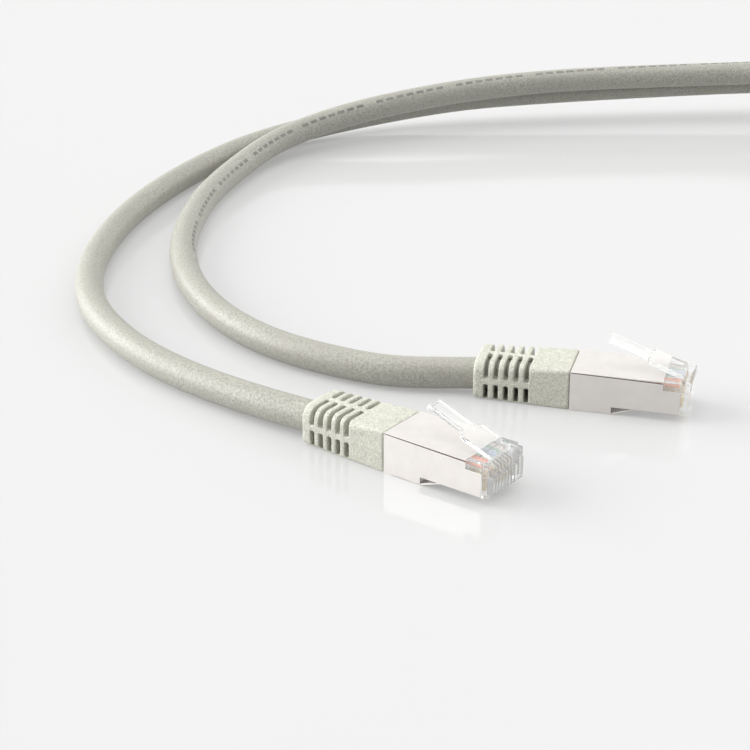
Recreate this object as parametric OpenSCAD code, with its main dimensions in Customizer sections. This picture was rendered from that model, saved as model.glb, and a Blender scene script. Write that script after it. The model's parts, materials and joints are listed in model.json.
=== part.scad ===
// Shielded ethernet patch cable: two 8P8C modular plugs with slotted strain-relief boots on one
// round cord. The cord runs back from both plugs in two nested loops and is put away in a tied coil.
// Everything stands on z = 0. Each plug is drawn in its own frame: +x to the nose, z up, latch on top.

/* [Cord] */
// Outside diameter of the cord
cord_d = 6.4; // [5.8:0.1:6.4]
// Number of sides of the swept cord
cord_sides = 10; // [8:1:12]

/* [Plug] */
// Width of the plug and its boot
plug_w = 11.7; // [11.6:0.05:11.8]
// Height of the plug's rear part
plug_h = 8.2; // [8.1:0.1:8.4]
// Length from the boot's front face to the plug's nose
nose_x = 23; // [22.5:0.1:23.1]
// Height by which the front part's underside is raised
step_h = 1.6; // [1.5:0.05:1.7]
// Place where the underside starts to rise
step_x = 8.3; // [8.2:0.1:9]
// Place where the risen underside becomes level
ramp_x = 12.9; // [12:0.1:13.5]

/* [Shield] */
// Thickness of the shield's sheet metal
sheet = 0.25; // [0.2:0.01:0.28]
// Front end of the shield's top plate
cover_x = 18.2; // [18:0.1:18.4]
// Front end of the shield's side walls
wall_x = 21.7; // [21.5:0.1:21.8]
// Depth of the side windows beside the nose
window_h = 1.9; // [1.8:0.1:2]

/* [Latch] */
// Angle at which the free latch stands up
latch_angle = 20.3; // [19:0.1:21]
// Thickness of the latch
latch_t = 1; // [0.9:0.05:1.05]
// Width of the latch's wide part
latch_wide = 6.3; // [6:0.1:6.4]
// Width of the latch's finger tab
latch_narrow = 3.25; // [3:0.05:3.4]

/* [Boot] */
// Length of the boot
boot_l = 19.5; // [19.3:0.1:20]
// Number of slots in the boot
boot_slots = 5; // [3:1:5]
// Width of a slot
slot_w = 0.95; // [0.6:0.05:1]
// Distance from one slot to the next
slot_pitch = 2.05; // [2:0.05:2.1]

/* [Contacts] */
// Distance from one contact to the next
pitch = 1.02; // [1.01:0.01:1.03]
// Thickness of a contact blade
blade_t = 0.32; // [0.28:0.01:0.34]
// Diameter of an insulated conductor
wire_d = 0.94; // [0.9:0.01:0.96]

/* [Hidden] */
PLUGS = ["a", "b"];
WAYS = 8;

$fn = 32;
far = 0.1;                        // overshoot of a cut
half_w = plug_w / 2;
axis_z = plug_h / 2;              // cord axis in the plug

// where each plug lies: x, y and turn of its nose
plug_at = [[-19.8, -10.2, -37.1], [14.9, 17.9, -15.1]];

// colours
grey_pvc = [0.72, 0.72, 0.68];
boot_grey = [0.78, 0.79, 0.72];
nickel = [0.86, 0.85, 0.84];
gold = [0.86, 0.67, 0.3];
clear_pc = [0.9, 0.93, 0.95, 0.45];
braid_tin = [0.7, 0.7, 0.72];
strap_black = [0.12, 0.12, 0.13];
// insulation of the eight conductors, in the order of the contacts
wire_colours = [[0.95, 0.8, 0.7], [0.95, 0.45, 0.2], [0.75, 0.9, 0.75], [0.2, 0.35, 0.75],
    [0.75, 0.82, 0.95], [0.15, 0.55, 0.25], [0.85, 0.75, 0.65], [0.45, 0.28, 0.18]];

// levels inside the plug
wire_z = 6.95;
wire_end_x = 21.2;
channel = [6.4, 7.5];             // floor and roof of the wire channel
bar_x = [9.5, 15.5];              // load bar
bar_z = [5.8, 7.5];
bar_w = 9.5;
cavity_w = 9.2;                   // rear cavity for the cord's end
jacket_end_x = 3;
skin = 0.05;                      // running gap between moulding and shield
body_w = plug_w - 2 * sheet - 2 * skin;
body_top = 7.85;
nose_low_z = 5.8;                 // top of the nose's outer corners
nose_ridge_w = 9.2;
lip_x = 23.6;                     // front of the rounded lip across the top of the nose
lip_z = [6, 8.25];
lip_r = 0.8;

// latch root
hinge_x = 21.3;
hinge_z = 8.5;
root_r = 0.6;
root_gap = 0.05;
latch_len = 15.5;
shoulder_at = 6.9;

// boot
collar_l = 2.1;
top_strut = 1.3;
side_strut = 1.25;
strut_z = 4.15;                   // height of the side struts
keel = 0.35;                      // the slots end above this solid bottom
exit_y = -0.9;                    // the boot's rear leans towards the inside of the cord's bend
exit_z = 3.7;
bend_x = -8.3;                    // where the bore starts to lean
rear_bore_d = 6.6;
front_bore_d = 7.5;

// coil put away beside the loops
coil_at = [153.7, 176];
coil_in = 22.4;
coil_out = 44.8;
coil_top = 19.2;
tie_w = 12;
tie_t = 0.9;
tie_turn = -60;                   // where the tie sits round the coil

// the cord's two free stretches, from the boot's mouth to the coil
route_a = [[-35.9, 0.8, 3.7], [-41.8, 4.6, 3.7], [-50.9, 11.5, 3.4], [-61, 20.1, 3.2],
    [-71.4, 31, 3.2], [-80, 44, 3.2], [-86.4, 58.5, 3.2], [-89.6, 75, 3.2], [-89.8, 91.5, 3.2],
    [-86.9, 112.5, 3.2], [-81, 133, 3.2], [-72, 153.5, 3.2], [-59.6, 173.3, 3.3],
    [-42.5, 190, 3.6], [-22, 200.2, 5.1], [0, 206.2, 7], [24, 209.8, 8], [52, 212.8, 8.8],
    [84, 215.1, 9.6], [115, 216.3, 9.6], [140, 215, 9.6]];
route_b = [[-4.2, 22.1, 3.7], [-11.5, 22.6, 3.5], [-22, 24, 3.2], [-34.3, 29.7, 3.2],
    [-44.5, 36.7, 3.2], [-53.5, 46.4, 3.2], [-61.3, 59.5, 3.2], [-67.2, 76, 3.2],
    [-70.1, 94, 3.2], [-69.9, 113, 3.2], [-67.3, 133, 3.3], [-60.9, 153.5, 3.8],
    [-51, 173, 5.2], [-36, 184.2, 7.9], [-17, 192, 10.5], [4, 199.6, 12], [28, 205, 12.9],
    [84, 208.6, 14.2], [97, 205.6, 15.4], [107.5, 198, 16], [113.5, 187, 16], [114.8, 176, 16]];

function way_y(i) = (i - (WAYS + 1) / 2) * pitch;

// ---- sweeping a round cord along a route ----

// two rings for each stretch of the route, on a smooth curve through its points
function blend(p, q, r, s, t) = 0.5 * (2 * q + (r - p) * t + (2 * p - 5 * q + 4 * r - s) * t * t
    + (3 * q - p - 3 * r + s) * t * t * t);
function smooth(route) = let (n = len(route) - 1) concat(
    [for (i = [0:n - 1], t = [0, 0.5])
        blend(route[max(i - 1, 0)], route[i], route[i + 1], route[min(i + 2, n)], t)],
    [route[n]]);
function unit(v) = v / norm(v);
// direction of a path at one of its points, halfway between the two legs that meet there
function leg(path, i) = unit(path[i + 1] - path[i]);
function heading(path, i) =
    unit(leg(path, max(i - 1, 0)) + leg(path, min(i, len(path) - 2)));

module sweep(path, d) {
    rings = len(path);
    points = [for (i = [0:rings - 1])
        let (t = heading(path, i), side = unit(cross([0, 0, 1], t)), up = cross(t, side))
        for (k = [0:cord_sides - 1])
            let (a = 360 * (k + 0.5) / cord_sides)
            path[i] + d / 2 * (side * cos(a) + up * sin(a))];
    walls = [for (i = [0:rings - 2], k = [0:cord_sides - 1])
        let (j = (k + 1) % cord_sides, low = i * cord_sides, high = low + cord_sides)
        [low + k, high + k, high + j, low + j]];
    ends = [[for (k = [0:cord_sides - 1]) k],
        [for (k = [cord_sides - 1:-1:0]) (rings - 1) * cord_sides + k]];
    polyhedron(points, concat(walls, ends), convexity = 10);
}

// ---- helpers in the plug's frame ----

module on_plug(p) {
    at = plug_at[p];
    translate([at[0], at[1], 0]) rotate([0, 0, at[2]]) children();
}

// block between two corners
module block(low, high) {
    translate(low) cube(high - low);
}

// round rod between two points
module rod(from, to, d) {
    v = to - from;
    translate(from)
        rotate([0, acos(v[2] / norm(v)), atan2(v[1], v[0])])
            cylinder(h = norm(v), d = d);
}

// a thin slab of the boot's outline at x, with its own corner radii at the top and the bottom
module boot_slab(x, inset, top_r, low_r) {
    w = half_w - inset;
    translate([x, 0, 0]) rotate([90, 0, 90]) linear_extrude(0.05) hull() {
        for (side = [-1, 1]) {
            translate([side * (w - top_r), plug_h - inset - top_r]) circle(top_r);
            translate([side * (w - low_r), inset * 0.5 + low_r]) circle(low_r);
        }
    }
}

module leaning_bore(d, past) {
    start = [bend_x, 0, axis_z];
    end = [-boot_l, exit_y, exit_z];
    rod(start, end + unit(end - start) * past, d);
}

// ---- sub-parts ----

module boot(p) color(boot_grey) on_plug(p) difference() {
    hull() {
        boot_slab(-0.15, 0, 0.35, 0.35);
        boot_slab(-2, 0, 0.35, 0.35);
        boot_slab(bend_x, 0, 1.4, 0.8);
        boot_slab(-boot_l + 0.5, 0, 2.7, 1.6);
        boot_slab(-boot_l, 0.3, 2.5, 1.4);
    }
    leaning_bore(rear_bore_d, 1);
    translate([bend_x - 0.3, 0, axis_z]) rotate([0, 90, 0]) cylinder(h = 9, d = front_bore_d);
    for (i = [0:boot_slots - 1]) {
        x = -boot_l + collar_l + i * slot_pitch;
        difference() {
            block([x, -half_w - 1, keel], [x + slot_w, half_w + 1, plug_h + 1]);
            block([x - 1, -top_strut / 2, -2], [x + 2, top_strut / 2, plug_h + 2]);
            block([x - 1, -half_w - 2, strut_z - side_strut / 2],
                [x + 2, half_w + 2, strut_z + side_strut / 2]);
        }
    }
}

module housing(p) color(clear_pc) on_plug(p) difference() {
    union() {
        block([0.4, -body_w / 2, sheet + 0.1], [step_x - 0.4, body_w / 2, body_top]);
        block([step_x - 0.5, -body_w / 2, step_h + sheet + 0.1], [nose_x, body_w / 2, body_top]);
        block([ramp_x + 0.7, -4.8, step_h], [nose_x, 4.8, step_h + 1]);
        block([cover_x + skin, -half_w, plug_h - window_h + skin], [wall_x + skin, half_w, plug_h]);
        block([wall_x + skin, -half_w, step_h], [nose_x, half_w, nose_low_z]);
        block([wall_x, -nose_ridge_w / 2, nose_low_z - 1], [nose_x - 0.2, nose_ridge_w / 2, plug_h]);
        translate([0, nose_ridge_w / 2, 0]) rotate([90, 0, 0]) linear_extrude(nose_ridge_w) hull() {
            for (z = [lip_z[0] + lip_r, lip_z[1] - lip_r])
                translate([lip_x - lip_r, z]) circle(lip_r);
            translate([nose_x - 1, lip_z[0]]) square([0.5, 2]);
        }
    }
    // rear cavity, load bar pocket and wire channel
    block([0, -cavity_w / 2, 0.75], [7.4, cavity_w / 2, 7.5]);
    block([7.3, -cavity_w / 2, 2.9], [9.5, cavity_w / 2, 7.5]);
    block([9.4, -bar_w / 2 - skin, bar_z[0] - skin], [bar_x[1] + skin, bar_w / 2 + skin, bar_z[1] + skin]);
    block([bar_x[1], -4.2, channel[0]], [wire_end_x + 0.2, 4.2, channel[1]]);
    // contact slots
    for (i = [1:WAYS]) {
        y = way_y(i);
        slot = blade_t / 2 + skin;
        block([17.2, y - slot, step_h - far], [nose_x + far, y + slot, 5]);
        block([17.8, y - slot, 4.9], [20.6, y + slot, channel[0] + far]);
    }
    // seat of the latch root, and the pocket that the pressed latch dips into
    translate([hinge_x, 3.25, hinge_z]) rotate([90, 0, 0]) cylinder(h = 6.5, r = root_r + root_gap);
    block([19.4, -3.25, 7.82], [hinge_x, 3.25, plug_h + far]);
}

module latch_blade() {
    half_wide = latch_wide / 2;
    half_tab = latch_narrow / 2;
    linear_extrude(latch_t, center = true)
        polygon([[0, half_wide], [shoulder_at - 0.5, half_wide], [shoulder_at, half_wide - 0.7],
            [shoulder_at, half_tab + 0.2], [shoulder_at + 0.4, half_tab], [latch_len, half_tab],
            [latch_len, -half_tab], [shoulder_at + 0.4, -half_tab],
            [shoulder_at, -half_tab - 0.2], [shoulder_at, -half_wide + 0.7],
            [shoulder_at - 0.5, -half_wide], [0, -half_wide]]);
}

module latch(p) color(clear_pc) on_plug(p) translate([hinge_x, 0, hinge_z]) {
    rail = 0.45;
    dish = 0.3;
    rotate([90, 0, 0]) cylinder(h = latch_wide, r = root_r, center = true);
    rotate([0, 0, 180]) rotate([0, -latch_angle, 0]) difference() {
        latch_blade();
        // dished top of the finger tab, between two rails
        block([shoulder_at + 1.2, -latch_narrow / 2 + rail, latch_t / 2 - dish],
            [latch_len - 0.6, latch_narrow / 2 - rail, latch_t]);
    }
}

// height of the slanting seam between side wall and cover, at a place along the plug
function seam_z(x, rear_z, front_z) = rear_z + (front_z - rear_z) * x / cover_x;

// a plate standing along the plug: its side outline, from y to y + thick
module side_plate(outline, y, thick) {
    translate([0, y + thick, 0]) rotate([90, 0, 0]) linear_extrude(thick) polygon(outline);
}

module shield_shell(p) color(nickel) on_plug(p) {
    flange = 0.75;
    slit = 0.12;
    window_z = plug_h - window_h;
    wall = [[0, slit], [2.2, slit], [step_x - 0.25, slit], [step_x, slit], [step_x, step_h],
        [wall_x, step_h], [wall_x, window_z], [cover_x, window_z],
        [cover_x, seam_z(cover_x, 8.02, 7.75)], [0, seam_z(0, 8.02, 7.75)]];
    folded_floor = [[0, 0], [step_x, 0], [ramp_x, step_h], [ramp_x + 0.5, step_h],
        [ramp_x + 0.5, step_h + sheet], [ramp_x - 0.05, step_h + sheet], [step_x - 0.05, sheet],
        [0, sheet]];
    for (side = [-1, 1]) {
        outer = side * half_w;
        edge = side * (half_w - flange);
        side_plate(wall, side > 0 ? half_w - sheet : -half_w, sheet);
        block([step_x, min(outer, edge), step_h], [wall_x, max(outer, edge), step_h + sheet]);
        // corners of the floor's edge that stand on the surface
        block([0, min(outer, edge), 0], [2.2, max(outer, edge), sheet]);
        block([step_x - 0.25, min(outer, edge), 0], [step_x, max(outer, edge), sheet]);
    }
    // the floor's edge is folded in a little, which leaves a low open slit below each side wall
    side_plate(folded_floor, -half_w + 0.3, plug_w - 0.6);
    block([0, -half_w, slit], [step_x, half_w, sheet]);
    side_plate([[step_x, slit], [step_x, 0], [ramp_x, step_h], [ramp_x - 0.05, step_h + sheet],
        [step_x - 0.05, sheet]], -half_w, plug_w);
}

module shield_cover(p) color(nickel) on_plug(p) {
    lip = 0.6;
    edge = half_w - sheet - skin;
    block([0, -edge, plug_h - 0.2], [cover_x, edge, plug_h]);
    side_plate([[0, seam_z(0, 8.13, 7.97)], [cover_x, seam_z(cover_x, 8.13, 7.97)],
        [cover_x, plug_h], [0, plug_h]], -half_w, plug_w);
    block([0, -half_w + sheet, plug_h - lip], [0.2, half_w - sheet, plug_h - 0.1]);
}

module load_bar(p) color([0.85, 0.9, 0.95, 0.6]) on_plug(p) difference() {
    block([bar_x[0], -bar_w / 2, bar_z[0]], [bar_x[1], bar_w / 2, bar_z[1]]);
    for (i = [1:WAYS])
        translate([bar_x[0] - 1, way_y(i), wire_z]) rotate([0, 90, 0]) cylinder(h = 8, d = wire_d + 0.04);
}

module crimp_ferrule(p) color(nickel) on_plug(p) translate([-6.5, 0, axis_z]) rotate([0, 90, 0])
    difference() {
        cylinder(h = 6.4, d = 7.4);
        translate([0, 0, -1]) cylinder(h = 9, d = 6.76);
    }

module cable_braid(p) color(braid_tin) on_plug(p) translate([-6, 0, axis_z]) rotate([0, 90, 0])
    difference() {
        cylinder(h = 8.2, d = 6.68);
        translate([0, 0, -1]) cylinder(h = 11, d = cord_d + 0.04);
    }

module cable_jacket(p) color(grey_pvc) on_plug(p)
    sweep([[jacket_end_x, 0, axis_z], [bend_x, 0, axis_z], [-boot_l, exit_y, exit_z]], cord_d);

module contact(p, i) color(gold) on_plug(p)
    translate([0, way_y(i) + blade_t / 2, 0]) rotate([90, 0, 0]) linear_extrude(blade_t)
        polygon([[17.5, 2.2], [21.4, 2.2], [22.1, 2.9], [22.1, 4.8], [20.4, 4.8], [20.4, 6.2],
            [20, wire_z], [19.6, 6.2], [18.8, 6.2], [18.4, wire_z], [18, 6.2], [18, 4.8], [17.5, 4.8]]);

// the insulated conductor fans from the cord's end into one flat row
module conductor(p, i) color(wire_colours[i - 1]) on_plug(p) {
    knee = [9, way_y(i), wire_z];
    root = [jacket_end_x + 0.35, way_y(i) / 2, axis_z + (i % 2 == 0 ? 0.7 : -0.7)];
    difference() {
        sweep([root, knee, [wire_end_x, way_y(i), wire_z]], wire_d);
        block([17.9, way_y(i) - blade_t / 2 - 0.02, wire_z - 1],
            [20.5, way_y(i) + blade_t / 2 + 0.02, wire_z + 0.02]);
    }
}

module cable_run(route) color(grey_pvc) sweep(smooth(route), cord_d);

// outline of the wound bundle, as radius and height, grown outwards by a margin
function bundle(grow) = [[coil_in - grow, 0], [coil_out + grow, 0], [coil_out + grow, 7],
    [42.2 + grow, 13], [42.2 + grow, coil_top + grow], [28.4 - grow * 0.6, coil_top + grow],
    [coil_in - grow, 13]];

module coil() color(grey_pvc) translate([coil_at[0], coil_at[1], 0])
    rotate_extrude($fn = 96) polygon(bundle(0));

module tie() color(strap_black) translate([coil_at[0], coil_at[1], 0]) rotate([0, 0, tie_turn])
    translate([0, tie_w / 2, 0]) rotate([90, 0, 0]) linear_extrude(tie_w) difference() {
        polygon(bundle(tie_t + 0.6));
        intersection() {
            polygon(bundle(0.6));
            translate([0, tie_t]) square([100, 100]);
        }
    }

for (p = [0, 1]) {
    tag = str("_", PLUGS[p]);
    boot(p);
    housing(p);
    latch(p);
    shield_shell(p);
    shield_cover(p);
    load_bar(p);
    crimp_ferrule(p);
    cable_braid(p);
    cable_jacket(p);
    for (i = [1:WAYS]) {
        contact(p, i);
        conductor(p, i);
    }
}
cable_run(route_a);  // cable_run_a
cable_run(route_b);  // cable_run_b
coil();
tie();
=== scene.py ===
"""Looks for the ethernet patch cable: two shielded modular plugs with slotted boots on one looped cord."""

import json
import math

import bmesh
import bpy
import numpy as np
from mathutils import Matrix, Vector


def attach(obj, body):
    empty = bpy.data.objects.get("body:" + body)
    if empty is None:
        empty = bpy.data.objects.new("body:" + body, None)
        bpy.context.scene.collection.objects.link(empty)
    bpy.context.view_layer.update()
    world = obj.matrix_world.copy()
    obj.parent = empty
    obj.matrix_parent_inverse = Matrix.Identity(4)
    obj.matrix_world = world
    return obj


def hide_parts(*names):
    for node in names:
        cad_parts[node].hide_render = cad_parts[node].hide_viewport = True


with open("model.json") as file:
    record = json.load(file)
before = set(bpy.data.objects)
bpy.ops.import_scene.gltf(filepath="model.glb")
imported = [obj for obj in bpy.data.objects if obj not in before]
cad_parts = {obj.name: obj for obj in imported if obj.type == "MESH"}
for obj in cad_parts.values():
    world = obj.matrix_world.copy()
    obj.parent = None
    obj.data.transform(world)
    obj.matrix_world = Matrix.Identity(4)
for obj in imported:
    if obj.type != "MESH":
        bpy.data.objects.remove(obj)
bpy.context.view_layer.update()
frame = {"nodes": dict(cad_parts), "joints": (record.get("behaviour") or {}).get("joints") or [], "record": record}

MM = 0.001
CORD_D = 6.4
PLUGS = ("a", "b")

# ---------------------------------------------------------------- camera

camera_data = bpy.data.cameras.new("camera")
camera_data.sensor_width = 36
camera_data.lens = 93.6
camera_data.clip_start, camera_data.clip_end = 0.01, 20
camera = bpy.data.objects.new("camera", camera_data)
camera.location = (-0.0249, -0.33635, 0.1645)
camera.rotation_euler = (math.radians(65.77), 0, 0)
bpy.context.scene.collection.objects.link(camera)
bpy.context.scene.camera = camera

# ---------------------------------------------------------------- the plugs' own frames

LATCH_ROOT = (21.3, 8.5)  # along the plug and above the surface, in mm


def plug_matrix(plug):
    """From a plug's own frame in mm to the row frame: x to the nose, z up, zero at the boot's front face."""
    joint = next(j for j in frame["joints"] if j["name"] == f"latch_{plug}_press")
    left = -Vector(joint["axis"])
    nose = left.cross(Vector((0, 0, 1)))
    up = Vector((0, 0, 1))
    origin = Vector(joint["pos_m"]) - nose * LATCH_ROOT[0] * MM - up * LATCH_ROOT[1] * MM
    turn = Matrix((nose, left, up)).transposed().to_4x4()
    return Matrix.Translation(origin) @ turn @ Matrix.Scale(MM, 4)


PLUG = {p: plug_matrix(p) for p in PLUGS}

# ---------------------------------------------------------------- the cord's line, in mm

ROUTE_A = [(-35.9, 0.8, 3.7), (-41.8, 4.6, 3.7), (-50.9, 11.5, 3.4), (-61, 20.1, 3.2),
           (-71.4, 31, 3.2), (-80, 44, 3.2), (-86.4, 58.5, 3.2), (-89.6, 75, 3.2), (-89.8, 91.5, 3.2),
           (-86.9, 112.5, 3.2), (-81, 133, 3.2), (-72, 153.5, 3.2), (-59.6, 173.3, 3.3),
           (-42.5, 190, 3.6), (-22, 200.2, 5.1), (0, 206.2, 7), (24, 209.8, 8), (52, 212.8, 8.8),
           (84, 215.1, 9.6), (115, 216.3, 9.6)]
ROUTE_B = [(-4.2, 22.1, 3.7), (-11.5, 22.6, 3.5), (-22, 24, 3.2), (-34.3, 29.7, 3.2),
           (-44.5, 36.7, 3.2), (-53.5, 46.4, 3.2), (-61.3, 59.5, 3.2), (-67.2, 76, 3.2),
           (-70.1, 94, 3.2), (-69.9, 113, 3.2), (-67.3, 133, 3.3), (-60.9, 153.5, 3.8),
           (-51, 173, 5.2), (-36, 184.2, 7.9), (-17, 192, 10.5), (4, 199.6, 12), (28, 205, 12.9),
           (84, 208.6, 14.2), (97, 205.6, 15.4), (107.5, 198, 16), (113.5, 187, 16)]
COIL_AT = (153.7, 176.0)
# clockwise from north in degrees, radius, height: second layer outside, first layer inwards, second
# layer outwards, third layer outwards
COIL = [(-12, 39.4, 9.6), (0, 38.4, 9.6), (225, 38.4, 9.6), (262, 41.4, 8.4), (300, 42.0, 3.4),
        (330, 41.5, 3.2), (1200, 25.8, 3.2), (1268, 25.8, 9.6), (1590, 31.2, 9.6),
        (1655, 31.4, 16.0), (2070, 38.9, 16.0)]
TIE_AZIMUTH = 150
TIE_LIFT = 1.15  # the turns rise over the strap that passes below them
TIE_REACH = 20  # degrees to each side over which the turns come down again
COIL_STEP = 15  # degrees from one point of a turn to the next
JACKET_FRONT = (3, 0, 4.1)  # the cord's end in a plug's frame
BOOT_BEND = (-8.3, 0, 4.1)  # where the cord starts to lean, inside the boot
BOOT_MOUTH = (-19.5, -0.9, 3.7)  # where it leaves the boot


def tie_lift(azimuth):
    """How much the turns rise at an azimuth to pass over the strap."""
    away = (azimuth - TIE_AZIMUTH + 180) % 360 - 180
    return TIE_LIFT * math.exp(-((away / TIE_REACH) ** 2))


def coil_points():
    """The coil's points in mm, from plug a's run to plug b's."""
    points = []
    for (a0, r0, z0), (a1, r1, z1) in zip(COIL, COIL[1:]):
        count = max(1, round((a1 - a0) / COIL_STEP))
        for i in range(count):
            t = i / count
            ease = t * t * (3 - 2 * t)
            points.append((a0 + (a1 - a0) * t, r0 + (r1 - r0) * t, z0 + (z1 - z0) * ease))
    points.append(COIL[-1])
    return [(COIL_AT[0] + r * math.sin(math.radians(a)), COIL_AT[1] + r * math.cos(math.radians(a)),
             z + tie_lift(a)) for a, r, z in points]


def jacket_points(plug):
    """The cord's points inside a plug, from its end outwards, in mm in the row frame."""
    return [tuple(v / MM for v in PLUG[plug] @ Vector(p)) for p in (JACKET_FRONT, BOOT_BEND)]


def through(points, count=12):
    """A smooth curve (centripetal Catmull-Rom) through points."""
    p = [np.array(q, float) for q in points]
    p = [2 * p[0] - p[1], *p, 2 * p[-1] - p[-2]]
    line = []
    for a, b, c, d in zip(p, p[1:], p[2:], p[3:]):
        t1 = np.linalg.norm(b - a) ** 0.5
        t2 = t1 + np.linalg.norm(c - b) ** 0.5
        t3 = t2 + np.linalg.norm(d - c) ** 0.5
        for t in np.linspace(t1, t2, count, endpoint=False):
            ab = (t1 - t) / t1 * a + t / t1 * b
            bc = (t2 - t) / (t2 - t1) * b + (t - t1) / (t2 - t1) * c
            cd = (t3 - t) / (t3 - t2) * c + (t - t2) / (t3 - t2) * d
            abc = (t2 - t) / t2 * ab + t / t2 * bc
            bcd = (t3 - t) / (t3 - t1) * bc + (t - t1) / (t3 - t1) * cd
            line.append((t2 - t) / (t2 - t1) * abc + (t - t1) / (t2 - t1) * bcd)
    return np.array([*line, p[-2]])


def evenly(line, step):
    """The line with its points step apart."""
    along = np.r_[0, np.cumsum(np.linalg.norm(np.diff(line, axis=0), axis=1))]
    at = np.linspace(0, along[-1], int(round(along[-1] / step)) + 1)
    return np.stack([np.interp(at, along, line[:, k]) for k in range(3)], 1)


def relaxed(line, step, reach):
    """Bending stiffness: evens out the curve over a few millimetres."""
    half = int(3 * reach / step)
    weight = np.exp(-0.5 * (np.arange(-half, half + 1) * step / reach) ** 2)
    weight /= weight.sum()
    ends = np.concatenate([2 * line[0] - line[half:0:-1], line, 2 * line[-1] - line[-2:-half - 2:-1]])
    return np.stack([np.convolve(ends[:, k], weight, "valid") for k in range(3)], 1)


RING_STEP = 1.25
BEND_REACH = 4  # mm over which the cord's stiffness evens out its bends
cord_line = through(jacket_points("a") + ROUTE_A + coil_points() + ROUTE_B[::-1] + jacket_points("b")[::-1])
cord_line = relaxed(evenly(cord_line, RING_STEP), RING_STEP, BEND_REACH)

# ---------------------------------------------------------------- mesh helpers


def link(obj):
    bpy.context.scene.collection.objects.link(obj)
    return obj


def mesh_object(name, points, faces, matrix=None):
    """A mesh of points in mm; matrix takes them to the row frame."""
    mesh = bpy.data.meshes.new(name)
    mesh.from_pydata([tuple(p) for p in points], [], faces)
    mesh.transform(matrix if matrix is not None else Matrix.Scale(MM, 4))
    mesh.update()
    return link(bpy.data.objects.new(name, mesh))


def smooth_shaded(obj, angle=40):
    """Smooth shading, with edges sharper than angle kept sharp."""
    bm = bmesh.new()
    bm.from_mesh(obj.data)
    for face in bm.faces:
        face.smooth = True
    for edge in bm.edges:
        edge.smooth = not (edge.is_manifold and edge.calc_face_angle(0) > math.radians(angle))
    bm.to_mesh(obj.data)
    bm.free()
    return obj


def apply_modifiers(obj):
    graph = bpy.context.evaluated_depsgraph_get()
    mesh = bpy.data.meshes.new_from_object(obj.evaluated_get(graph))
    obj.modifiers.clear()
    obj.data = mesh
    return obj


def skin_faces(rings, sides):
    """Faces of a closed skin over rings of sides points each, with a cap at both ends."""
    faces = [(i * sides + k, i * sides + (k + 1) % sides, (i + 1) * sides + (k + 1) % sides,
              (i + 1) * sides + k) for i in range(rings - 1) for k in range(sides)]
    return [*faces, tuple(range(sides))[::-1], tuple(range((rings - 1) * sides, rings * sides))]


def set_values(obj, **values):
    """Gives each point of a mesh its named numbers, which the materials read."""
    for key, numbers in values.items():
        data = obj.data.attributes.new(key, "FLOAT", "POINT").data
        data.foreach_set("value", np.asarray(numbers, np.float32).ravel())


def ring_tube(line, radius, sides):
    """Points and faces of a round tube along a line, with its side directions kept level."""
    tangent = np.gradient(line, axis=0)
    tangent /= np.linalg.norm(tangent, axis=1)[:, None]
    side = np.cross([0, 0, 1.0], tangent)
    side /= np.linalg.norm(side, axis=1)[:, None]
    up = np.cross(tangent, side)
    turn = np.arange(sides) / sides * 2 * np.pi
    rings = (line[:, None] + radius * (side[:, None] * np.cos(turn)[None, :, None]
                                       + up[:, None] * np.sin(turn)[None, :, None]))
    return rings.reshape(-1, 3), skin_faces(len(line), sides), turn


# ---------------------------------------------------------------- material helpers


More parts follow.
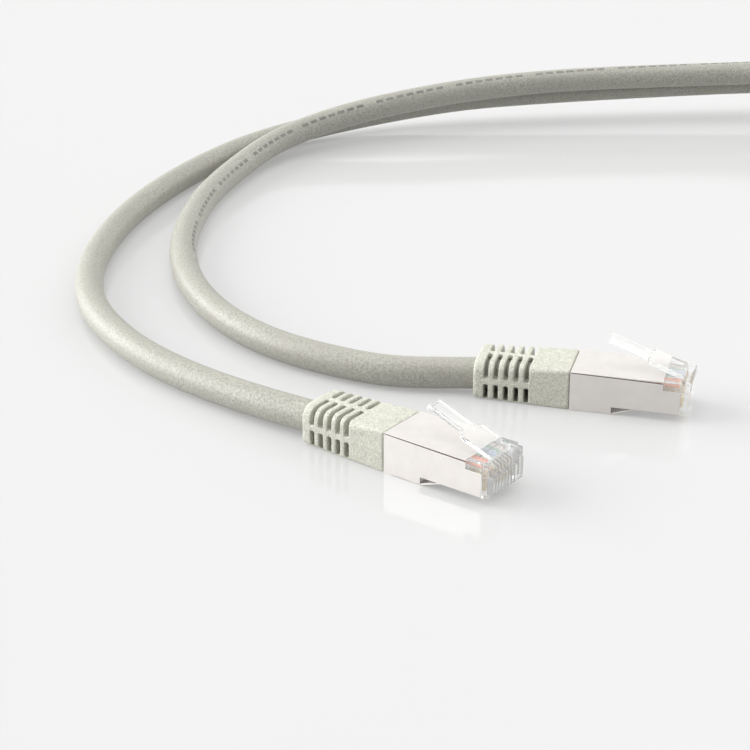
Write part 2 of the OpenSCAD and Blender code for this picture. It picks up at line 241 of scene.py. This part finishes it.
class Shader:
    """A node material with a Principled surface."""

    def __init__(self, name):
        self.material = bpy.data.materials.new(name)
        self.material.use_nodes = True
        self.tree = self.material.node_tree
        self.surface = self.tree.nodes["Principled BSDF"]

    def node(self, kind, **inputs):
        made = self.tree.nodes.new(kind)
        for key, value in inputs.items():
            if hasattr(made, key):
                setattr(made, key, value)
            else:
                self.feed(made.inputs[key.replace("_", " ")], value)
        return made

    def feed(self, socket, value):
        if isinstance(value, bpy.types.NodeSocket):
            self.tree.links.new(value, socket)
        else:
            socket.default_value = value

    def set(self, **inputs):
        for key, value in inputs.items():
            self.feed(self.surface.inputs[key.replace("_", " ")], value)
        return self

    def math(self, operation, a, b=0.0):
        made = self.node("ShaderNodeMath", operation=operation)
        self.feed(made.inputs[0], a)
        self.feed(made.inputs[1], b)
        return made.outputs[0]

    def place(self, scale=(1, 1, 1)):
        """Object coordinates in millimetres, stretched by scale."""
        coords = self.node("ShaderNodeTexCoord").outputs["Object"]
        mapping = self.node("ShaderNodeMapping")
        self.feed(mapping.inputs["Vector"], coords)
        mapping.inputs["Scale"].default_value = tuple(1000 * s for s in scale)
        return mapping.outputs[0]

    def value(self, name):
        """A number that set_values gave to the points of the mesh."""
        return self.node("ShaderNodeAttribute", attribute_name=name).outputs["Fac"]

    def noise(self, scale, detail=3.0, roughness=0.55, stretch=(1, 1, 1)):
        """Noise whose features are 1/scale mm across."""
        made = self.node("ShaderNodeTexNoise")
        self.feed(made.inputs["Vector"], self.place(stretch))
        made.inputs["Scale"].default_value = scale
        made.inputs["Detail"].default_value = detail
        made.inputs["Roughness"].default_value = roughness
        return made.outputs["Fac"]

    def span(self, value, low, high, to_low=0.0, to_high=1.0):
        made = self.node("ShaderNodeMapRange")
        self.feed(made.inputs["Value"], value)
        for key, number in (("From Min", low), ("From Max", high), ("To Min", to_low), ("To Max", to_high)):
            made.inputs[key].default_value = number
        return made.outputs["Result"]

    def mix(self, fac, a, b):
        made = self.node("ShaderNodeMix", data_type="RGBA")
        self.feed(made.inputs["Factor"], fac)
        self.feed(made.inputs[6], a)
        self.feed(made.inputs[7], b)
        return made.outputs[2]

    def bump(self, height, distance_mm, strength=1.0, under=None):
        made = self.node("ShaderNodeBump")
        made.inputs["Strength"].default_value = strength
        made.inputs["Distance"].default_value = distance_mm * MM
        self.feed(made.inputs["Height"], height)
        if under is not None:
            self.feed(made.inputs["Normal"], under)
        return made.outputs["Normal"]


def rgb(red, green, blue):
    return (red, green, blue, 1.0)


# ---------------------------------------------------------------- materials

DASH_STEP = 3.0  # mm from one printed dash to the next
DASH_SHARE = 0.68  # the inked part of it
DASH_HALF_H = 0.45
GROUP_STEP = 24.0  # the dashes stand in groups with a gap between them
GROUP_SHARE = 0.85


def cord_material():
    s = Shader("cord_pvc")
    speckle = s.noise(2.05, 3, 0.7)
    cloud = s.noise(0.12, 2)
    base = s.mix(s.span(speckle, 0.34, 0.66), rgb(0.25, 0.247, 0.214), rgb(0.475, 0.47, 0.415))
    base = s.mix(s.span(cloud, 0.35, 0.65, 0, 0.5), base, rgb(0.35, 0.34, 0.30))
    # a line of plain printed dashes along one side
    along = s.value("along")
    band = s.math("LESS_THAN", s.math("ABSOLUTE", s.value("print_off")), DASH_HALF_H)
    band = s.math("MULTIPLY", band, s.math("GREATER_THAN", s.value("print_face"), 0.5))
    dash = s.math("LESS_THAN", s.math("FRACT", s.math("DIVIDE", along, DASH_STEP)), DASH_SHARE)
    group = s.math("LESS_THAN", s.math("FRACT", s.math("DIVIDE", along, GROUP_STEP)), GROUP_SHARE)
    ink = s.math("MULTIPLY", s.math("MULTIPLY", band, dash), group)
    wear = s.span(s.noise(0.15, 1), 0.3, 0.7, 0.5, 0.75)
    base = s.mix(s.math("MULTIPLY", ink, wear), base, rgb(0.10, 0.10, 0.095))
    normal = s.bump(speckle, 0.04, 0.7, s.bump(s.noise(0.9, 2), 0.03, 0.4))
    s.set(Base_Color=base, Roughness=s.span(speckle, 0.3, 0.7, 0.36, 0.48), Normal=normal)
    s.set(Specular_IOR_Level=0.4)
    return s.material


def boot_material():
    s = Shader("boot_pvc")
    grain = s.noise(3.0, 3, 0.7)
    cloud = s.noise(0.5, 2)
    base = s.mix(s.span(grain, 0.34, 0.66), rgb(0.39, 0.395, 0.325), rgb(0.76, 0.76, 0.67))
    base = s.mix(s.span(cloud, 0.3, 0.7, 0, 0.25), base, rgb(0.66, 0.66, 0.575))
    s.set(Base_Color=base, Roughness=s.span(grain, 0.3, 0.7, 0.36, 0.58), Normal=s.bump(grain, 0.3, 1.0))
    s.set(Specular_IOR_Level=0.5)
    return s.material


# the band of painted shade in the gap below the cover's side edges, in a plug's own frame: height at the boot,
# height lost per mm forward
GAP_TOP = (8.13, 0.0088)
GAP_LOW = (7.97, 0.0148)
PLUG_SPLIT = 5  # plug a lies left of this place in the row frame, plug b right of it


def seam_shade_band(s):
    """1 in the narrow gap between the shield's walls and its cover, where shade is painted dark into the colour, 0
    elsewhere.
    """
    place = s.place()
    split = s.node("ShaderNodeSeparateXYZ")
    s.feed(split.inputs[0], place)
    forward = []
    for plug in PLUGS:
        nose = (PLUG[plug].to_3x3() @ Vector((1, 0, 0))).normalized()
        dot = s.node("ShaderNodeVectorMath", operation="DOT_PRODUCT")
        s.feed(dot.inputs[0], place)
        dot.inputs[1].default_value = nose
        forward.append(s.math("SUBTRACT", dot.outputs["Value"], nose.dot(PLUG[plug].translation) / MM))
    right = s.math("GREATER_THAN", split.outputs["X"], PLUG_SPLIT)
    along = s.math("ADD", s.math("MULTIPLY", forward[0], s.math("SUBTRACT", 1.0, right)),
                   s.math("MULTIPLY", forward[1], right))
    top = s.math("SUBTRACT", GAP_TOP[0], s.math("MULTIPLY", along, GAP_TOP[1]))
    low = s.math("SUBTRACT", GAP_LOW[0], s.math("MULTIPLY", along, GAP_LOW[1]))
    return s.math("MULTIPLY", s.math("LESS_THAN", split.outputs["Z"], top),
                  s.math("GREATER_THAN", split.outputs["Z"], low))


def nickel_material():
    s = Shader("nickel_shield")
    cloud = s.noise(0.35, 3)
    fine = s.noise(3.0, 3)
    base = s.mix(s.span(cloud, 0.3, 0.7), rgb(0.755, 0.725, 0.70), rgb(0.71, 0.68, 0.655))
    # painted shade: the gap under the cover's edges is darkened in the base colour
    base = s.mix(seam_shade_band(s), base, rgb(0.11, 0.065, 0.05))
    rough = s.span(fine, 0.3, 0.7, 0.38, 0.48)
    normal = s.bump(s.noise(0.4, 2), 0.02, 0.2, s.bump(fine, 0.003, 0.3))
    s.set(Base_Color=base, Metallic=0.5, Roughness=rough, Normal=normal)
    return s.material


def clear_material(name, transmission, ior, rough, glow):
    s = Shader(name)
    flow = s.noise(0.5, 2)
    base = s.mix(s.span(flow, 0.3, 0.7), rgb(0.95, 0.955, 0.95), rgb(0.985, 0.99, 0.985))
    s.set(Base_Color=base, Roughness=s.span(flow, 0.35, 0.65, *rough), Normal=s.bump(flow, 0.03, 0.25))
    s.set(Transmission_Weight=transmission, IOR=ior)
    # stands for the light that scatters inside the moulding
    s.set(Emission_Color=rgb(0.97, 0.985, 1.0), Emission_Strength=glow)
    return s.material


def gold_material():
    s = Shader("contact_gold")
    wipe = s.noise(4.0, 3, stretch=(1, 1, 0.3))
    s.set(Base_Color=s.mix(wipe, rgb(0.86, 0.66, 0.36), rgb(0.77, 0.60, 0.36)), Metallic=1.0,
          Roughness=s.span(wipe, 0.3, 0.7, 0.16, 0.34))
    return s.material


def braid_material():
    s = Shader("braid")
    weave = s.node("ShaderNodeTexVoronoi")
    s.feed(weave.inputs["Vector"], s.place())
    weave.inputs["Scale"].default_value = 3.0
    s.set(Base_Color=s.mix(weave.outputs["Distance"], rgb(0.62, 0.62, 0.63), rgb(0.30, 0.30, 0.31)),
          Metallic=1.0, Roughness=s.span(s.noise(4.0, 2), 0.3, 0.7, 0.3, 0.45),
          Normal=s.bump(weave.outputs["Distance"], 0.1))
    return s.material


def wire_material(name, colour):
    s = Shader(name)
    fleck = s.noise(3.0, 2)
    darker = tuple(0.86 * c for c in colour)
    s.set(Base_Color=s.mix(s.span(fleck, 0.35, 0.65), rgb(*colour), rgb(*darker)),
          Roughness=s.span(fleck, 0.3, 0.7, 0.28, 0.42))
    return s.material


def strap_material():
    s = Shader("strap")
    loops = s.noise(4.0, 4, 0.7)
    across = s.value("across")
    # woven cloth: fine cross ribs, and a plainer selvedge along both edges
    rib = s.math("SINE", s.math("MULTIPLY", s.value("along"), 9.0))
    weft = s.math("SINE", s.math("MULTIPLY", across, 13.0))
    weave = s.math("MULTIPLY", rib, weft)
    edge = s.span(s.math("ABSOLUTE", across), 5.0, 5.3)
    base = s.mix(s.span(loops, 0.35, 0.65), rgb(0.012, 0.012, 0.014), rgb(0.045, 0.045, 0.05))
    base = s.mix(s.span(weave, -0.6, 0.6, 0.0, 0.5), base, rgb(0.07, 0.07, 0.075))
    base = s.mix(edge, base, rgb(0.022, 0.022, 0.025))
    s.set(Base_Color=base, Roughness=s.span(loops, 0.3, 0.7, 0.72, 0.92),
          Normal=s.bump(loops, 0.10, 0.6, s.bump(weave, 0.12, 0.8)))
    s.set(Sheen_Weight=0.35)
    return s.material


WIRE_COLOURS = {
    "wire_white_orange": (0.94, 0.36, 0.20), "wire_orange": (0.90, 0.16, 0.04),
    "wire_white_green": (0.60, 0.82, 0.62), "wire_blue": (0.22, 0.29, 0.54),
    "wire_white_blue": (0.55, 0.66, 0.88), "wire_green": (0.20, 0.41, 0.24),
    "wire_white_brown": (0.74, 0.62, 0.52), "wire_brown": (0.27, 0.15, 0.09)}
MATERIALS = {
    "cord_pvc": cord_material(), "boot_pvc": boot_material(), "nickel_shield": nickel_material(),
    "clear_plastic": clear_material("clear_plastic", 0.95, 1.3, (0.02, 0.07), 0.02),
    "clear_body": clear_material("clear_body", 0.88, 1.3, (0.03, 0.09), 0.05),
    "contact_gold": gold_material(), "braid": braid_material(),
    "strap": strap_material(), **{n: wire_material(n, c) for n, c in WIRE_COLOURS.items()}}

# ---------------------------------------------------------------- the cord

CORD_SIDES = 28
points, faces, turn = ring_tube(cord_line, CORD_D / 2, CORD_SIDES)
cord = mesh_object("cord", points, faces)
along = np.r_[0, np.cumsum(np.linalg.norm(np.diff(cord_line, axis=0), axis=1))]
# the printed line turns slowly round the cord: mm from the cord's end in plug b, degrees from its left side
PRINT_TURN = [(0, -90), (60, -75), (128, 40), (235, 46), (300, 66), (360, 95), (520, 260)]
print_turn = np.radians(np.interp(along[-1] - along, *zip(*PRINT_TURN)))
from_print = turn[None, :] - print_turn[:, None]
set_values(cord, along=np.repeat(along, CORD_SIDES), print_off=CORD_D / 2 * np.sin(from_print),
           print_face=np.cos(from_print))
smooth_shaded(cord, 60)
cord.data.materials.append(MATERIALS["cord_pvc"])
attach(cord, "cable")
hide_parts("cable_run_a", "cable_run_b", "coil", "cable_jacket_a", "cable_jacket_b")

# ---------------------------------------------------------------- the strap round the coil

STRAP_W = 12
STRAP_T = 0.65
STRAP_GAP = 0.05
STRAP_STEP = 0.4
STRAP_LAPS = 1.2  # the strap's end lies over its start, on the coil's outer side
STRAP_START = (0.966, -0.26)  # outward and a little down, as seen across the strap
LAP_RISE = (0.975, 1.015)  # the part of a turn in which the strap climbs onto its start
TONGUE = 5  # length of the strap's rounded end
# the rounded edge: in from the side, up from the inner face
STRAP_EDGE = [(0.4, 0), (0.1, 0.12), (0, 0.32), (0.1, 0.53), (0.4, STRAP_T)]

tie_out = np.array([math.sin(math.radians(TIE_AZIMUTH)), math.cos(math.radians(TIE_AZIMUTH))])
tie_side = np.array([-tie_out[1], tie_out[0]])


def hull(cloud):
    """The convex hull of points in a plane, in order."""
    cloud = cloud[np.lexsort((cloud[:, 1], cloud[:, 0]))]
    halves = []
    for points in (cloud, cloud[::-1]):
        half = []
        for p in points:
            while len(half) > 1 and np.cross(half[-1] - half[-2], p - half[-2]) <= 0:
                half.pop()
            half.append(p)
        halves += half[:-1]
    return np.array(halves)


def strap_profile():
    """The outline that the strap follows round the turns, as points of (radius, height)."""
    flat = cord_line[:, :2] - np.array(COIL_AT)
    under = (flat @ tie_out > 10) & (np.abs(flat @ tie_side) < STRAP_W / 2 + 0.6)
    centres = np.stack([flat[under] @ tie_out, cord_line[under, 2]], 1)
    circle = np.linspace(0, 2 * np.pi, 48, endpoint=False)
    reach = CORD_D / 2 + STRAP_GAP
    return hull((centres[:, None]
                 + reach * np.stack([np.cos(circle), np.sin(circle)], 1)[None]).reshape(-1, 2))


def strap_section():
    """The strap's cross-section: (across, outward) points."""
    half, middle = STRAP_W / 2, STRAP_W / 6
    left = [(-half + side, up) for side, up in STRAP_EDGE]
    right = [(half - side, up) for side, up in reversed(STRAP_EDGE)]
    return [*left[1:], (-middle, STRAP_T), (middle, STRAP_T), *right, (middle, 0), (-middle, 0), left[0]]


def make_strap():
    """Wraps the section round the turns for a little over one lap and rounds off the strap's end."""
    loop = strap_profile()
    loop = np.roll(loop, -int(np.argmax(loop @ np.array(STRAP_START))), axis=0)
    loop = np.vstack([loop, loop[:1]])
    length = np.linalg.norm(np.diff(loop, axis=0), axis=1).sum()
    line = evenly(np.column_stack([loop, np.zeros(len(loop))]), STRAP_STEP)[:-1, :2]
    count = int(round(len(line) * STRAP_LAPS))
    line = np.array([line[k % len(line)] for k in range(count)])
    tangent = np.roll(line, -1, axis=0) - np.roll(line, 1, axis=0)
    tangent[-1], tangent[0] = tangent[-2], tangent[1]
    tangent /= np.linalg.norm(tangent, axis=1)[:, None]
    normal = np.stack([tangent[:, 1], -tangent[:, 0]], 1)
    one_lap = count / STRAP_LAPS
    climb = np.clip((np.arange(count) / one_lap - LAP_RISE[0]) / (LAP_RISE[1] - LAP_RISE[0]), 0, 1)
    over = climb * climb * (3 - 2 * climb) * (STRAP_T + STRAP_GAP)
    section = strap_section()
    points, across, along = [], [], []
    for k in range(count):
        left = (count - 1 - k) * length / one_lap
        narrow = math.sqrt(max(0.0, 1 - (1 - min(1.0, (left + 0.3) / TONGUE)) ** 2))
        for y, t in section:
            r, z = line[k] + normal[k] * (over[k] + t)
            x, north = np.array(COIL_AT) + tie_out * r + tie_side * y * narrow
            points.append((x, north, z))
            across.append(y)
            along.append(k * length / one_lap)
    strap = mesh_object("tie_strap", points, skin_faces(count, len(section)))
    set_values(strap, along=along, across=across)
    smooth_shaded(strap, 45)
    strap.data.materials.append(MATERIALS["strap"])
    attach(strap, "cable")
    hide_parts("tie")


make_strap()

# ---------------------------------------------------------------- the boots

HALF_W = 5.85
PLUG_H = 8.2
STRUT_Z = 4.15
# along the plug, inset, corner radius at the top, corner radius at the bottom, in mm
BOOT_RINGS = [(-0.13, 0.2, 0.35, 0.35), (-0.22, 0.08, 0.35, 0.35), (-0.42, 0, 0.35, 0.35),
              (-2, 0, 0.4, 0.4), (-8.3, 0, 1.4, 0.8), (-13.7, 0, 2.05, 1.2), (-18.9, 0, 2.65, 1.6),
              (-19.3, 0.12, 2.6, 1.5), (-19.5, 0.4, 2.4, 1.3)]
RIDGE = 0.09  # the mould's parting line stands proud on the front block's sides
RIDGE_SPAN = (-7.6, -0.4)
RIDGE_ENDS = (-0.45, -0.9, -7.0, -7.7)  # rings close together where the ridge starts and ends
SLOTS = [(BOOT_MOUTH[0] + 2.1 + 2.05 * i, BOOT_MOUTH[0] + 3.05 + 2.05 * i) for i in range(5)]
STRUT_HALF_H = 0.62  # the rib between the upper and the lower row of slots
SPINE_HALF_W = 0.65  # the rib along the top and the bottom
KEEL = 0.45
PAST_SIDE, PAST_TOP = 7, 10  # outside the boot, where the slots open
BORE_R = 3.75  # round the crimped end
MOUTH_R = 3.3  # round the leaning cord
VOXEL = 0.15


def boot_ring(x, inset, top_r, low_r):
    """One cross-section of a boot: round corners, and the fine ridge along both sides."""
    w, top, low = HALF_W - inset, PLUG_H - inset, inset * 0.5
    ridge = RIDGE if RIDGE_SPAN[0] < x < RIDGE_SPAN[1] else 0.0
    half = []
    for k in range(9):
        turn = math.radians(-90 + 90 * k / 8)
        half.append((w - low_r + low_r * math.cos(turn), low + low_r + low_r * math.sin(turn)))
    half += [(w, STRUT_Z - 0.3), (w + ridge, STRUT_Z - 0.1), (w + ridge, STRUT_Z + 0.1), (w, STRUT_Z + 0.3)]
    for k in range(13):
        turn = math.radians(90 * k / 12)
        half.append((w - top_r + top_r * math.cos(turn), top - top_r + top_r * math.sin(turn)))
    return [(x, y, z) for y, z in half] + [(x, -y, z) for y, z in reversed(half)]


def box_points(low, high):
    return [(x, y, z) for x in (low[0], high[0]) for y in (low[1], high[1]) for z in (low[2], high[2])]


BOX_FACES = [(0, 1, 3, 2), (4, 6, 7, 5), (0, 4, 5, 1), (2, 3, 7, 6), (0, 2, 6, 4), (1, 5, 7, 3)]


def joined(solids):
    """One list of points and faces from several."""
    points, faces = [], []
    for more, quads in solids:
        faces += [tuple(len(points) + k for k in face) for face in quads]
        points += [tuple(p) for p in more]
    return points, faces


def boot_rings():
    """All cross-sections, from the boot's front face to its mouth."""
    rings = [boot_ring(*r) for r in BOOT_RINGS]
    for x in RIDGE_ENDS:
        near = next(k for k in range(len(BOOT_RINGS) - 1) if BOOT_RINGS[k][0] >= x >= BOOT_RINGS[k + 1][0])
        a, b = BOOT_RINGS[near], BOOT_RINGS[near + 1]
        t = (x - a[0]) / (b[0] - a[0])
        rings.append(boot_ring(x, *(a[k] + (b[k] - a[k]) * t for k in (1, 2, 3))))
    return sorted(rings, key=lambda ring: -ring[0][0])


def slot_boxes():
    """The slots between the boot's ribs, two rows on each side."""
    boxes = []
    for rear, front in SLOTS:
        for side in (-1, 1):
            near, far = sorted((side * SPINE_HALF_W, side * PAST_SIDE))
            for bottom, top in ((KEEL, STRUT_Z - STRUT_HALF_H), (STRUT_Z + STRUT_HALF_H, PAST_TOP)):
                boxes.append((box_points((rear, near, bottom), (front, far, top)), BOX_FACES))
    return boxes


def take_away(body, cutter):
    """Cuts one solid out of another."""
    for obj in (body, cutter):
        bm = bmesh.new()
        bm.from_mesh(obj.data)
        bmesh.ops.recalc_face_normals(bm, faces=bm.faces)
        bm.to_mesh(obj.data)
        bm.free()
    cut = body.modifiers.new("cut", "BOOLEAN")
    cut.operation, cut.solver, cut.object = "DIFFERENCE", "EXACT", cutter
    apply_modifiers(body)
    bpy.data.objects.remove(cutter)


def make_boot(plug):
    """The outer skin, bored and slotted, then remeshed so that every edge is softly rounded."""
    rings = boot_rings()
    one = Matrix.Identity(4)
    body = mesh_object(f"boot_body_{plug}", [p for ring in rings for p in ring],
                       skin_faces(len(rings), len(rings[0])), one)
    # the bore: wide in front for the crimped end, leaning and close to the cord behind
    front = np.array([(1.0, 0, BOOT_BEND[2]), (BOOT_BEND[0] - 0.3, 0, BOOT_BEND[2])])
    rear = np.array([BOOT_BEND, BOOT_MOUTH])
    rear[1] = rear[1] + (rear[1] - rear[0]) / 11.3  # about 1 mm past the mouth
    for line, radius in ((front, BORE_R), (rear, MOUTH_R)):
        take_away(body, mesh_object("cutter", *ring_tube(line, radius, 40)[:2], one))
    take_away(body, mesh_object("cutter", *joined(slot_boxes()), one))
    grid = body.modifiers.new("grid", "REMESH")
    grid.mode = "VOXEL"
    grid.voxel_size = VOXEL
    soften = body.modifiers.new("soften", "SMOOTH")
    soften.factor, soften.iterations = 0.5, 3
    apply_modifiers(body)
    body.data.transform(PLUG[plug])
    for polygon in body.data.polygons:
        polygon.use_smooth = True
    body.name = f"boot_skin_{plug}"
    body.data.materials.clear()
    body.data.materials.append(MATERIALS["boot_pvc"])
    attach(body, "cable")
    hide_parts(f"boot_{plug}")


for plug in PLUGS:
    make_boot(plug)

# ---------------------------------------------------------------- CAD nodes: rounded edges and materials


def dress(node, material, bevel_mm=0.0, angle=40):
    """Gives a CAD node its material and, without changing its mesh, fine rounded edges."""
    obj = frame["nodes"][node]
    obj.data.materials.clear()
    obj.data.materials.append(MATERIALS[material])
    weld = obj.modifiers.new("weld", "WELD")
    weld.merge_threshold = 2e-6
    if bevel_mm:
        flat = obj.modifiers.new("flat", "DECIMATE")
        flat.decimate_type = "DISSOLVE"
        flat.angle_limit = math.radians(0.5)
        bevel = obj.modifiers.new("bevel", "BEVEL")
        bevel.width = bevel_mm * MM
        bevel.segments = 2
        bevel.limit_method = "ANGLE"
        bevel.angle_limit = math.radians(angle)
        normals = obj.modifiers.new("normals", "WEIGHTED_NORMAL")
        normals.mode, normals.weight, normals.keep_sharp = "FACE_AREA", 100, False


# width of the rounded edges in mm; contacts have theirs below
EDGES = {"housing": 0.12, "latch": 0.15, "shield_shell": 0.07, "shield_cover": 0.07, "load_bar": 0.08}
CONTACT_EDGE = 0.04

for entry in frame["record"]["subparts"]:
    node, slot = entry["node"], entry["material_slot"]
    kind = node.rsplit("_", 1)[0]
    fine = EDGES.get(kind, CONTACT_EDGE if node.startswith("contact") else 0.0)
    dress(node, "clear_body" if kind in ("housing", "load_bar") else slot, fine)

# ---------------------------------------------------------------- studio


def area_light(name, location, target, size, power):
    data = bpy.data.lights.new(name, "AREA")
    data.shape = "RECTANGLE"
    data.size, data.size_y = size
    data.energy = power
    lamp = link(bpy.data.objects.new(name, data))
    lamp.location = location
    lamp.rotation_euler = (Vector(target) - Vector(location)).to_track_quat("-Z", "Y").to_euler()


floor_mesh = bpy.data.meshes.new("floor")
floor_mesh.from_pydata([(-6, -6, 0), (6, -6, 0), (6, 6, 0), (-6, 6, 0)], [], [(0, 1, 2, 3)])
floor = link(bpy.data.objects.new("floor", floor_mesh))
s = Shader("floor_gloss")
haze = s.noise(0.02, 2)
s.set(Base_Color=s.mix(haze, rgb(0.375, 0.377, 0.375), rgb(0.385, 0.387, 0.385)),
      Roughness=s.span(haze, 0.3, 0.7, 0.07, 0.10))
s.set(Emission_Color=rgb(0.985, 0.985, 0.99), Emission_Strength=0.27)
s.set(Specular_IOR_Level=0.5)
floor.data.materials.append(s.material)

# direction, cosine of the lobe's edge, strength: all round, behind, left, right, upper left
SKY_LOBES = [((0, 0, 1), -1.5, 0.20), ((0.1, 1, 0.35), 0.2, 0.58), ((-0.966, 0.2, 0.22), 0.70, 7),
             ((0.9, 0.1, 0.42), 0.35, 1.3), ((-0.68, -0.3, 0.65), 0.5, 0.42)]

world = bpy.data.worlds.new("studio")
world.use_nodes = True
bpy.context.scene.world = world
sky = world.node_tree
direction = sky.nodes.new("ShaderNodeTexCoord").outputs["Generated"]


def sky_lobe(towards, edge, strength):
    """Light that grows smoothly from nothing at cosine edge to its full strength straight towards."""
    dot = sky.nodes.new("ShaderNodeVectorMath")
    dot.operation = "DOT_PRODUCT"
    sky.links.new(direction, dot.inputs[0])
    dot.inputs[1].default_value = Vector(towards).normalized()
    ramp = sky.nodes.new("ShaderNodeMapRange")
    ramp.interpolation_type = "SMOOTHSTEP"
    for key, value in (("From Min", edge), ("From Max", 1.0), ("To Min", 0.0), ("To Max", strength)):
        ramp.inputs[key].default_value = value
    sky.links.new(dot.outputs["Value"], ramp.inputs["Value"])
    return ramp.outputs["Result"]


total = None
for lobe in SKY_LOBES:
    light = sky_lobe(*lobe)
    if total is not None:
        add = sky.nodes.new("ShaderNodeMath")
        sky.links.new(total, add.inputs[0])
        sky.links.new(light, add.inputs[1])
        light = add.outputs[0]
    total = light
sky.links.new(total, sky.nodes["Background"].inputs["Strength"])
sky.nodes["Background"].inputs["Color"].default_value = (1, 1, 0.995, 1)

area_light("top_soft", (-0.1, 0.0, 1.6), (0, 0.08, 0), (1.3, 1.3), 10.5)

bpy.context.scene.view_settings.view_transform = "Standard"
